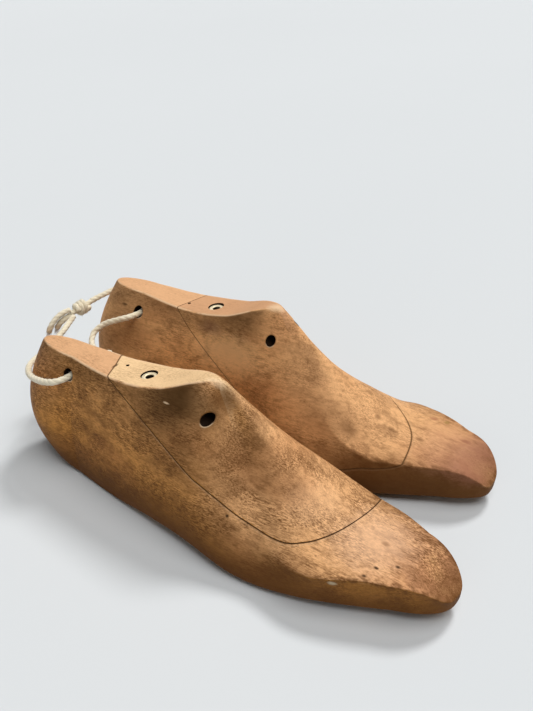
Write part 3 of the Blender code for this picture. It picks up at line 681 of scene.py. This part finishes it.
@dataclass(eq=False)
class Last:
    """One of the pair: where it stands, which foot it is for, how its cut was sawn, how it has worn, and the
    light and shade painted on it.
    """

    name: str
    hand: int  # 1 where the foot's outer side is -Y, -1 where it is +Y
    place: np.ndarray
    cut: list
    slant: list  # how much the cut rises across the last, at distances from the heel
    side_colour: tuple
    block_top: tuple
    # its stains and marks, and some patches of painted shade and light
    stains: list  # each a centre and a size in the last's own frame, a strength and a colour
    grain: float  # how dark its specks, fibres and beak's painted shade are, against the right one's
    seam_grime: float
    # how much painted shade the toe's wall gets, and so how narrow the painted shade along the toe's sole is
    toe_wall_shade: float
    seed: int

    @property
    def slide(self):
        """The way that the block comes off, up the ramp."""
        return unit(np.array([-1, 0, -ramp_slope(self.cut)]))

    def slant_at(self, x):
        return np.interp(x, *np.array(self.slant, float).T)

    def to_world(self, points):
        """From the last's own millimetres, with Y to the foot's outer side, to the model's metres."""
        return (points * [1, -self.hand, 1] + self.place) * MM

    def above_seam(self, world):
        """How many millimetres above the cut each point of the model lies."""
        own = (world / MM - self.place) * [1, -self.hand, 1]
        x = own[..., 0]
        return own[..., 2] - cut_height(x, self.cut) - self.slant_at(x) * own[..., 1]

    def blank(self, part):
        """The uncut last: both halves as one closed skin, a little uneven from the rasp and from wear."""
        (outer, outer_skin), (inner, inner_skin) = half_last(OUTER), half_last(INNER)
        ring = np.concatenate([outer, inner[::-1][1:-1]])
        skin = np.concatenate([outer_skin, inner_skin[::-1][1:-1]]) * SKIN_SCALE
        fade = np.interp(ring[..., 0:1], *np.array(UNEVEN_FADE, float).T)
        uneven = sum(high * lumps(ring, wide, self.seed + k) for k, (high, wide) in enumerate(UNEVEN))
        ring = ring + fade * uneven
        ring[..., 2] = ring[..., 2].clip(0)
        columns, rows = ring.shape[:2]
        start = np.arange(columns)[:, None] * rows
        following = (np.arange(columns)[:, None] + 1) % columns * rows
        k = np.arange(rows - 1)
        faces = np.stack([start + k, following + k, following + k + 1, start + k + 1], -1).reshape(-1, 4)
        points = self.to_world(ring).reshape(-1, 3)
        return mended(mesh_object(self.name + part, points, faces.tolist(), skin.reshape(-1, 2)))

    def cut_surface(self, lift, above):
        """A cutter on one side of the cut, raised by lift: its outline from the side, run across the last."""
        hollow = np.linspace(self.cut[1][0], self.cut[-1][0], CUT_STEPS)
        x = np.concatenate([CUT_SPAN[:1], hollow, CUT_SPAN[1:]])
        y = np.array([-FAR, FAR])[:, None]
        z = cut_height(x, self.cut) + lift + self.slant_at(x) * y
        seam = np.stack(np.broadcast_arrays(x, y, z), -1)
        far = seam[:, [-1, 0]] * [1, 1, 0] + [0, 0, 2 * FAR if above else -2 * FAR]
        outline = np.concatenate([seam, far], 1)
        return cutter(self.to_world(outline.reshape(-1, 3)), closed_tube(2, outline.shape[1]))

    def drill(self, diameter, start, end, sides=64):
        """A round cutter from start to end, in the last's own millimetres."""
        length = np.linalg.norm(np.subtract(end, start))
        return self.stepped_drill([(diameter / 2, 0), (diameter / 2, length)], start, end, sides)

    def stepped_drill(self, profile, start, end, sides=64):
        """A cutter turned from a profile about the line from start to end."""
        points = lathe(profile, start, np.subtract(end, start), sides)
        return cutter(self.to_world(points.reshape(-1, 3)), closed_tube(len(profile), sides))

    def shared_holes(self):
        """The holes that go through both the block and the body: the pin's, the nail's and the dowel's."""
        rim = top_at(THIMBLE_AT) - THIMBLE_DEPTH
        step = rim - THIMBLE_LENGTH - SEAM_GAP - PIN_HOLE_BOTTOM
        bore, pocket = THIMBLE_BORE / 2, THIMBLE_DIAMETER / 2 + SEAM_GAP
        pin_profile = [(bore, 0), (bore, step), (pocket, step), (pocket, FAR)]
        nail_x, nail_y = NAIL_HOLE
        nail_foot = top_at(nail_x) - NAIL_HOLE_DEPTH
        dowel_reach = self.slide * (DOWEL_LENGTH / 2 + SEAM_GAP)
        return [
            self.stepped_drill(pin_profile, (THIMBLE_AT, 0, PIN_HOLE_BOTTOM), (THIMBLE_AT, 0, FAR)),
            self.drill(NAIL_HOLE_DIAMETER, (nail_x, nail_y, nail_foot), (nail_x, nail_y, FAR), 24),
            self.drill(DOWEL_DIAMETER + 2 * SEAM_GAP, DOWEL_AT - dowel_reach, DOWEL_AT + dowel_reach),
        ]


def per_point(mesh, key):
    """A vector for each of a mesh's points, such as its place."""
    values = np.empty(len(mesh.vertices) * 3, np.float32)
    mesh.vertices.foreach_get(key, values)
    return values.reshape(-1, 3)


def cut(blank, last, cutters, material):
    """Cuts a blank and gives it its wood. Its points keep their height above the seam and their slope."""
    for tool in cutters:
        modifier = blank.modifiers.new(tool.name, "BOOLEAN")
        modifier.operation = "DIFFERENCE"
        modifier.solver = "MANIFOLD"
        modifier.object = tool
    shape = blank.evaluated_get(bpy.context.evaluated_depsgraph_get())
    mesh = bpy.data.meshes.new_from_object(shape)
    blank.modifiers.clear()
    blank.data = mesh
    for tool in cutters:
        bpy.data.objects.remove(tool)
    seam = last.above_seam(per_point(mesh, "co").astype(float))
    up = per_point(mesh, "normal")[:, 2]
    for name, values in (("seam", seam), ("up", up)):
        attribute = mesh.attributes.new(name, "FLOAT", "POINT")
        attribute.data.foreach_set("value", np.ascontiguousarray(values, np.float32))
    mesh.materials.clear()
    mesh.materials.append(material)
    mesh.shade_smooth()
    mesh.set_sharp_from_angle(angle=radians(40))


# the colour of the painted light where the wood faces up
WOOD_LIT_FACING_UP = (0.82, 0.45, 0.205)
WOOD_RED = (0.50, 0.205, 0.075)
WOOD_DARK = (0.118, 0.045, 0.012)
WOOD_SHADE = (0.055, 0.024, 0.006)
WOOD_GRIME = (0.045, 0.022, 0.010)
WOOD_WORN = (0.78, 0.56, 0.35)
WOOD_SAWN = (0.15, 0.075, 0.03)
# painted shade inside the drilled holes
WOOD_HOLE_SHADE = (0.012, 0.006, 0.003)
HEEL_TOP = (0.72, 0.41, 0.215)
TOE_STAIN = (0.62, 0.285, 0.145)
RING_WIDTH = 2.9
PITH = (0, 55, 40)  # the trunk's middle lay beside and below the last, almost along it
PITH_STRETCH = 0.03


def wood_at(place, last):
    """Where a point lies on a last, in millimetres, and what its wood is like there.

    The growth rings are even steps of the distance from the pith, warped by noise, and the rest is noise
    drawn out along the grain: fibres, specks, flecks, blots, mottling and clouds.
    """
    x, y, _ = last.place
    scale = (1 / MM, -last.hand / MM, 1 / MM)
    own = place.node("Mapping", {"Vector": place, "Location": (-x, last.hand * y, 0), "Scale": scale})
    skin = own.node("UVMap", uv_map="skin").split()
    at = SimpleNamespace(own=own, along=own.split())
    at.height = at.along.part(2)
    at.above_feather = skin * (1 / SKIN_SCALE)
    at.above_edge = skin.part(1) * (1 / SKIN_SCALE)
    at.over_seam = own.node("Attribute", attribute_name="seam", output="Fac")
    at.from_seam = at.over_seam.math("ABSOLUTE")
    at.up = own.node("Attribute", attribute_name="up", output="Fac")

    shift = 3.7 * last.seed
    warp = own.noise((90, 30, 30), 2.0, 0.5, shift)
    from_pith = own.node("Mapping", {"Vector": own, "Location": PITH, "Scale": (PITH_STRETCH, 1, 1)})
    ring = from_pith.vector("LENGTH", output="Value") * (1 / RING_WIDTH) + warp * 5
    ring = ring.math("FRACT")
    at.late_wood = ring.between(0.25, 0.9) * ring.between(1.0, 0.93)
    at.fibre = own.noise((9, 0.55, 0.55), 3.0, 0.65, shift)
    at.speck = own.noise((2.4, 0.65, 0.65), 3.0, 0.7, shift + 4)
    at.fleck = own.noise((2.4, 0.5, 0.5), 2.0, 0.5, shift + 5)
    at.blot = own.noise((6, 3.5, 3.5), 3.0, 0.6, shift + 7)
    at.mottle = own.noise((20, 11, 11), 4.0, 0.62, shift + 9)
    at.cloud = own.noise((70, 34, 34), 2.0, 0.5, shift + 2)
    at.on_top = at.above_edge.between(0.0, 1.2) * (at.along + at.speck * 16).between(174, 155)
    patches = own.noise((24, 15, 15), 2.0, 0.5, shift + 11).between(0.38, 0.62)
    at.open_grain = (1 - at.on_top * 0.65) * (0.45 + patches * 0.75)
    return at


def grain_layers(at, last, top_colour):
    """The wood: painted light where it faces up, reddish clouds, a toe stained by polish, rings and grain."""
    toe_top = at.along.between(232, 285) * at.up.between(0.3, 0.8)
    return [
        # painted light: the wood is paler where its surface faces up, towards the lamps
        (WOOD_LIT_FACING_UP, at.up.between(0.05, 0.75)),
        (WOOD_RED, at.cloud.between(0.45, 0.66) * 0.40),
        (TOE_STAIN, toe_top * at.mottle.between(0.3, 0.6) * 0.75),
        (WOOD_DARK, at.late_wood * 0.10),
        (WOOD_DARK, at.mottle.between(0.46, 0.70) * (0.30 + 0.18 * last.grain)),
        (WOOD_DARK, at.blot.between(0.46, 0.70) * (0.28 + 0.16 * last.grain)),
        (top_colour, at.on_top * (0.95 - at.mottle.between(0.55, 0.8) * 0.25)),
        (WOOD_DARK, at.fibre.between(0.40, 0.70) * at.open_grain * (0.62 * last.grain)),
        (WOOD_DARK, at.speck.between(0.42, 0.66) * at.open_grain * (0.72 * last.grain)),
        (WOOD_DARK, at.fleck.between(0.60, 0.70) * at.open_grain * (0.80 * last.grain)),
    ]


def dark_layers(at, last):
    """Dark specks on the toe's shoulder, where hands and leather darkened it, and painted shade on the toe's
    wall, low on the walls along the sole and on the flank under the top's edge.

    Where the toe's wall has little painted shade, the painted shade along its sole is only a narrow band.
    """
    toe_wall = at.above_edge.between(0.6, -1.6) * at.along.between(190, 228)
    toe_shoulder = at.above_edge.math("ABSOLUTE").between(4.5, 0.5) * at.along.between(205, 235)
    over_sole = at.above_feather.between(-3.0, 0.0)
    pale_toe = at.along.between(205, 240) * (1 - last.toe_wall_shade)
    under_top = at.above_edge.between(0.2, -0.8) * at.along.between(151, 133)
    beak_flank = at.above_edge.between(-34, -13) * at.along.between(95, 125)
    return [
        # painted shade on the toe's wall
        (WOOD_DARK, toe_wall * last.toe_wall_shade),
        (WOOD_DARK, toe_shoulder * at.blot.between(0.42, 0.6) * 0.65),
        # painted shade low on the walls along the sole: only a narrow band where the toe's wall has little of
        # it
        (WOOD_DARK, at.above_feather.between(36.0, 2.0) * over_sole * (0.92 - pale_toe)),
        (WOOD_DARK, at.above_feather.between(13.0, 2.0) * over_sole * pale_toe),
        # painted shade on the flank under the top's edge, deepest on the flank towards the beak
        (WOOD_SHADE, under_top * at.above_edge.between(-20, -1) * 0.42),
        (WOOD_SHADE, under_top * beak_flank * (0.82 * last.grain)),
    ]


def stain_layers(at, last):
    """A last's own stains and marks, and some painted shade and light: each fades out by the distance from
    its centre, made ragged by noise.
    """
    ragged = (at.blot + at.speck) * 0.8
    layers = []
    for centre, size, strength, colour in last.stains:
        distance = at.own.vector("SUBTRACT", centre).vector("DIVIDE", size).vector("LENGTH", output="Value")
        layers.append((colour, (distance + ragged - 0.8).between(1.3, 0.3) * strength))
    return layers


def wear_layers(at, last):
    """Edges rubbed pale, grime and a pale lower lip at the two holes, and grime in the seam by a worn lip."""
    top_edge = (at.above_edge - 0.3).math("ABSOLUTE").between(1.3, 0.2) * at.mottle.between(0.35, 0.55)
    layers = [(WOOD_WORN, top_edge * at.along.between(150, 140) * 0.6)]
    middle = at.own.node("CombineXYZ", {0: at.along, 1: 0.0, 2: at.height})
    for hole_x, hole_z, diameter in ((*CORD_HOLE, CORD_HOLE_DIAMETER), (*HOOK_HOLE, HOOK_HOLE_DIAMETER)):
        away = middle.vector("DISTANCE", (hole_x, 0, hole_z), output="Value")
        rim = away.between(diameter / 2 + 0.8, diameter / 2 + 0.1)
        lower_lip = rim * at.height.between(hole_z - 1.2, hole_z - 2.6)
        layers += [(WOOD_GRIME, rim * 0.5), (WOOD_WORN, lower_lip * 0.75)]
    seam_lip = at.over_seam.between(-0.5, -0.7) * at.over_seam.between(-1.5, -0.9) * at.along.between(95, 130)
    return layers + [
        (WOOD_WORN, seam_lip * at.speck.between(0.35, 0.5) * (0.18 * last.seam_grime)),
        (WOOD_GRIME, at.from_seam.between(0.42, 0.24) * (1 - at.on_top * 0.7) * last.seam_grime),
    ]


def wood(name, last, top_colour):
    """Old oiled wood with its grain, darkening, stains, wear and painted light and shade, raw wood in the
    cut, and painted shade in the drilled holes.
    """
    made, shader, place = new_material(name, 0.5)
    shader.inputs["Specular IOR Level"].default_value = 0.04
    at = wood_at(place, last)
    inside = at.above_edge.between(INSIDE * 0.5, INSIDE * 0.6)
    colour = at.own.colour(last.side_colour).tinted(
        *grain_layers(at, last, top_colour),
        *dark_layers(at, last),
        *stain_layers(at, last),
        *wear_layers(at, last),
        (WOOD_SAWN, inside),
        # painted shade: the drilled holes' walls are near black
        (WOOD_HOLE_SHADE, inside * at.from_seam.between(0.4, 0.9)),
    )
    rough = 0.40 + at.fibre * 0.15 + at.on_top * 0.15 + at.speck * 0.1
    height = at.fibre * 0.5 + at.speck * 0.5 - at.fleck.between(0.60, 0.74) * 0.5 + at.mottle * 0.8
    connect(shader, {"Base Color": colour, "Roughness": rough, "Normal": height.bump(0.4, 0.00025)})
    return made


RIGHT_STAINS_AND_SHADE = [
    ((213, 6, 40), (24, 15, 10), 0.25, (0.95, 0.57, 0.31)),  # rubbed pale on the instep
    ((246, 5, 30), (24, 26, 6), 0.36, (0.95, 0.60, 0.38)),  # and on the toe
    ((157, 5, 83), (10, 8, 8), 0.75, WOOD_DARK),  # painted shade under the beak
    # painted shade on the flank below the beak, then the flank darker
    ((147, 13, 79), (20, 8, 13), 0.6, WOOD_SHADE), ((150, 22, 56), (42, 14, 22), 0.40, WOOD_DARK),
    # darker down the instep
    ((174, 8, 60), (15, 11, 11), 0.35, WOOD_DARK), ((194, 10, 48), (17, 11, 10), 0.35, WOOD_DARK),
    ((151, 1, 91), (8, 3, 4), 0.35, (0.86, 0.66, 0.44)),  # the beak's worn tip
    ((124.5, 14.6, 76.7), (2.2, 2, 0.5), 0.8, WOOD_WORN),  # a scratch
    ((237.8, 32.6, 22.1), (2.3, 3, 1.6), 0.9, (0.55, 0.45, 0.30)),  # a chip
    ((71.6, 0.8, 77.1), (1.1, 2.6, 2), 0.95, WOOD_GRIME),  # five pits
    ((253.2, 17.7, 27.4), (1.5, 0.9, 1.5), 0.95, WOOD_GRIME),
    ((261.4, 11.4, 26.9), (1.4, 0.9, 1.5), 0.9, WOOD_GRIME),
    ((250.8, 24.7, 26.9), (1.4, 0.9, 1.5), 0.9, WOOD_GRIME),
    ((173.4, 30.9, 32.9), (1.1, 1.1, 1.1), 0.95, WOOD_GRIME),
    ((223.7, 23.6, 28.8), (4.0, 0.6, 1.5), 0.6, WOOD_DARK),  # a dent and a spot
    ((250, 2.8, 29), (2.4, 1.7, 2), 0.45, WOOD_DARK),
    ((224, 42, 17), (36, 10, 13), 0.45, WOOD_DARK),  # painted shade low on the ball's side, and the toe's tip darker
    ((288, 6, 18), (12, 30, 10), 0.55, WOOD_DARK),
]
RIGHT = Last(
    name="right", hand=1, place=np.array([-129.0, -41.2, 0.0]),
    cut=[
        (60, 82), (150, 40.7), (165, 33.9), (180, 27.2), (200, 23.4), (212, 24.2), (222, 27.4), (230, 31.8),
        (238, 39.2), (246, 50),
    ],
    slant=[(160, 0.2), (240, 0.2)],
    side_colour=(0.64, 0.285, 0.066), block_top=(0.87, 0.60, 0.33),
    stains=RIGHT_STAINS_AND_SHADE, grain=1.0, seam_grime=0.9, toe_wall_shade=0.38, seed=4,
)
LEFT_STAINS_AND_SHADE = [
    ((200, -24, 42), (24, 13, 13), 0.34, WOOD_DARK),  # dark down the instep
    ((175, -14, 58), (20, 12, 16), 0.22, WOOD_DARK),
    ((262, 0, 27), (26, 28, 7), 0.35, (0.40, 0.19, 0.11)),  # polish on the toe
    ((104.8, -14.8, 71.7), (10, 5, 5), 0.5, (0.10, 0.045, 0.035)),  # a spill below the top's edge
    ((104.2, -19.8, 57.4), (3, 4, 7), 0.5, WOOD_DARK),
    ((27.8, -13.9, 70), (3.0, 2, 0.9), 0.8, WOOD_GRIME),  # a nick by the cord's hole
    ((149, -2, 91), (7, 4, 3), 0.7, WOOD_WORN),  # the beak's worn tip
    ((245, -3.5, 29.9), (2.4, 1.6, 2), 0.5, WOOD_DARK),
    ((281, -1, 24), (21, 26, 9), 0.62, (0.30, 0.125, 0.075)),  # polish at the tip
    ((28, -24, 58), (28, 15, 26), 0.45, WOOD_DARK),  # painted shade on the heel's side
    ((122, -21, 60), (32, 10, 15), 0.72, (0.98, 0.60, 0.28)),  # block's side paler, partly painted light
    ((241.1, 21.6, 27.7), (3.0, 2.2, 3), 0.6, (0.32, 0.12, 0.06)),  # spots on the toe
    ((249.1, 22.3, 27.2), (2.0, 2.2, 3), 0.7, (0.30, 0.18, 0.05)),
    ((266.1, 11.6, 26.6), (3.5, 2.0, 3), 0.7, (0.28, 0.11, 0.06)),
    ((219, -5.2, 37.7), (2.2, 2.0, 3), 0.55, WOOD_DARK),
    ((229.2, -7.1, 33.4), (3.6, 1.6, 3), 0.55, WOOD_DARK), ((210, -22, 36), (8.0, 3.5, 4), 0.45, WOOD_DARK),
]
LEFT = Last(
    name="left", hand=-1, place=np.array([-149.0, 41.2, 0.0]),
    cut=[
        (60, 88.2), (130, 43.8), (150, 34.3), (170, 28.8), (200, 24.2), (212, 26.5), (222, 29.2),
        (232, 30.4), (240, 32.2), (248, 35.5),
    ],
    slant=[(160, 0.2), (240, 0.32)],
    # its sides are paler than the right one's: partly its own wood, partly painted light where the right last
    # shades them
    side_colour=(0.95, 0.52, 0.20), block_top=(0.62, 0.34, 0.18),
    stains=LEFT_STAINS_AND_SHADE, grain=0.5, seam_grime=0.35, toe_wall_shade=0.82, seed=9,
)

for last in (RIGHT, LEFT):
    lift = SEAM_GAP / 2 * hypot(1, ramp_slope(last.cut))
    cord_x, cord_z = CORD_HOLE
    hook_x, hook_z = HOOK_HOLE
    body = last.blank("_body")
    block = last.blank("_block")
    cord_hole = last.drill(CORD_HOLE_DIAMETER, (cord_x, -FAR, cord_z), (cord_x, FAR, cord_z))
    hook_hole = last.drill(HOOK_HOLE_DIAMETER, (hook_x, -FAR, hook_z), (hook_x, FAR, hook_z))
    cut(body, last, [last.cut_surface(-lift, True), cord_hole, *last.shared_holes()],
        wood(last.name + "_body_wood", last, HEEL_TOP))
    cut(block, last, [last.cut_surface(lift, False), hook_hole, *last.shared_holes()],
        wood(last.name + "_block_wood", last, last.block_top))
    for piece, node, body_name, slot_name in (
        (body, "_last_body", "_last", "body_wood"),
        (block, "_scoop_block", "_block", "block_wood"),
    ):
        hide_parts(last.name + node)
        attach(piece, last.name + body_name)


# A metal thimble lines the hole in each block's top, where the jack's pin goes in. It is a turned tube of
# pale grey brass, dull and dirty, sunk a millimetre below the wood.
THIMBLE_EDGE = 0.5  # how far its rim is rounded
THIMBLE_METAL = (0.80, 0.66, 0.44)
THIMBLE_DIRT = (0.10, 0.06, 0.03)
THIMBLE_BLACK = (0.02, 0.012, 0.007)


def thimble_metal():
    """Dull plated brass: pale grey, with brown dirt and fine scratches by noise, and black below its rim."""
    made, shader, place = new_material("thimble_metal", 0.5, 0.5)
    dirt = place.noise((0.0015,) * 3, 4.0, 0.65)
    rim = (top_at(THIMBLE_AT) - THIMBLE_DEPTH) * MM
    colour = place.colour(THIMBLE_METAL).tinted(
        (THIMBLE_DIRT, dirt.between(0.5, 0.75) * 0.8),
        (THIMBLE_BLACK, place.split(2).between(rim - 0.3 * MM, rim - 1.0 * MM)),
    )
    scratch = place.noise((0.0002, 0.002, 0.0002), 2.0).bump(0.2, 0.0001)
    connect(shader, {"Base Color": colour, "Roughness": 0.32 + dirt * 0.3, "Normal": scratch})
    return made


def turned(name, last, profile, start, direction, sides=96):
    """A turned piece: its profile's rings joined into a tube, and round again where the profile is closed."""
    points = lathe(profile, start, direction, sides)
    faces = tube_faces(len(profile), sides)
    if np.allclose(profile[0], profile[-1]):
        points = points[:-1]
        faces = faces % (len(points) * sides)
    obj = mended(mesh_object(name, last.to_world(points.reshape(-1, 3)), faces.tolist()))
    obj.data.set_sharp_from_angle(angle=radians(40))
    return obj


def thimble_profile():
    """The tube's wall in section: square at the foot, and rounded at the rim by two quarter circles."""
    inner, outer = THIMBLE_BORE / 2, THIMBLE_DIAMETER / 2
    bend = [(THIMBLE_EDGE * np.cos(a), THIMBLE_EDGE * np.sin(a)) for a in np.linspace(0, pi / 2, 7)]
    shoulder = THIMBLE_LENGTH - THIMBLE_EDGE
    outside = [(outer - THIMBLE_EDGE + c, shoulder + s) for c, s in bend]
    inside = [(inner + THIMBLE_EDGE - s, shoulder + c) for c, s in bend]
    return [(inner, 0), (outer, 0), *outside, *inside, (inner, 0)]


metal = thimble_metal()
for last in (RIGHT, LEFT):
    foot = top_at(THIMBLE_AT) - THIMBLE_DEPTH - THIMBLE_LENGTH
    thimble = turned(last.name + "_thimble_tube", last, thimble_profile(), (THIMBLE_AT, 0, foot), (0, 0, 1))
    thimble.data.materials.append(metal)
    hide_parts(last.name + "_thimble")
    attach(thimble, last.name + "_block")


# A dowel at each block's nose keeps the block in line. It is pale turned wood, pressed into the body, and
# shows only when the block is slid off.
DOWEL_EDGE = 0.8  # how far its ends are bevelled
DOWEL_PALE = (0.55, 0.36, 0.19)
DOWEL_GRAIN = (0.30, 0.17, 0.08)


def dowel_wood():
    """Pale straight-grained dowel wood: its grain is noise drawn out along it."""
    made, shader, place = new_material("dowel_wood", 0.55)
    grain = place.noise((0.012, 0.0008, 0.0008), 3.0, 0.6)
    colour = place.colour(DOWEL_PALE).tinted((DOWEL_GRAIN, grain.between(0.4, 0.7) * 0.6))
    connect(shader, {"Base Color": colour, "Normal": grain.bump(0.2, 0.0002)})
    return made


dowel_material = dowel_wood()
for last in (RIGHT, LEFT):
    half = DOWEL_DIAMETER / 2
    bevelled = half - DOWEL_EDGE
    profile = [(0, 0), (bevelled, 0), (half, DOWEL_EDGE), (half, DOWEL_LENGTH - DOWEL_EDGE),
               (bevelled, DOWEL_LENGTH), (0, DOWEL_LENGTH)]
    foot = DOWEL_AT - last.slide * DOWEL_LENGTH / 2
    dowel = turned(last.name + "_dowel", last, profile, foot, last.slide, 48)
    dowel.data.materials.append(dowel_material)
    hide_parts(last.name + "_nose_dowel")
    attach(dowel, last.name + "_last")


# The pair stands on a plain pale floor without an end. Three wide soft lamps light it, from behind, from
# above and from the front, and the room round it is pale to the camera and in gloss, and dim as a light.
FLOOR_REACH = 40.0
FLOOR_GREY = (0.60, 0.62, 0.63)
FLOOR_PALE = (0.63, 0.65, 0.66)
ROOM_COLOUR = (0.96, 0.985, 1.0)
ROOM_LIGHT = 0.06
ROOM_SEEN = 0.79

corners = np.array([(-1, -1, 0), (1, -1, 0), (1, 1, 0), (-1, 1, 0)]) * FLOOR_REACH
floor = mesh_object("floor", corners, [[0, 1, 2, 3]])
floor_material, floor_shader, floor_place = new_material("floor", 0.8)
floor_tone = floor_place.noise((0.9, 0.9, 0.9), 2.0)
connect(floor_shader, {"Base Color": floor_place.colour(FLOOR_GREY).tinted((FLOOR_PALE, floor_tone))})
floor.data.materials.append(floor_material)

world = bpy.data.worlds.new("room")
world.use_nodes = True
bpy.context.scene.world = world
background = world.node_tree.nodes["Background"]
background.inputs["Color"].default_value = (*ROOM_COLOUR, 1)
camera_ray = Wire(world.node_tree).node("LightPath", output="Is Camera Ray")
seen = camera_ray + camera_ray.part("Is Glossy Ray") + camera_ray.part("Is Transmission Ray")
connect(background, {"Strength": ROOM_LIGHT + seen.math("MINIMUM", 1.0) * (ROOM_SEEN - ROOM_LIGHT)})


def lamp(name, strength, spread, way):
    """A lamp so far off that it lights every place alike, from a way, spread over an angle of the sky."""
    data = bpy.data.lights.new(name, "SUN")
    data.energy = strength
    data.angle = spread
    obj = bpy.data.objects.new(name, data)
    obj.matrix_world = Vector(way).to_track_quat("Z", "Y").to_matrix().to_4x4()
    bpy.context.scene.collection.objects.link(obj)


lamp("back_light", 1.9, radians(14), (0.05, 0.70, 1.0))
lamp("overhead", 2.0, radians(46), (0.42, -0.02, 1.0))
lamp("front_fill", 0.40, radians(50), (0.3, -1.0, 0.42))

bpy.context.scene.view_settings.view_transform = "Standard"
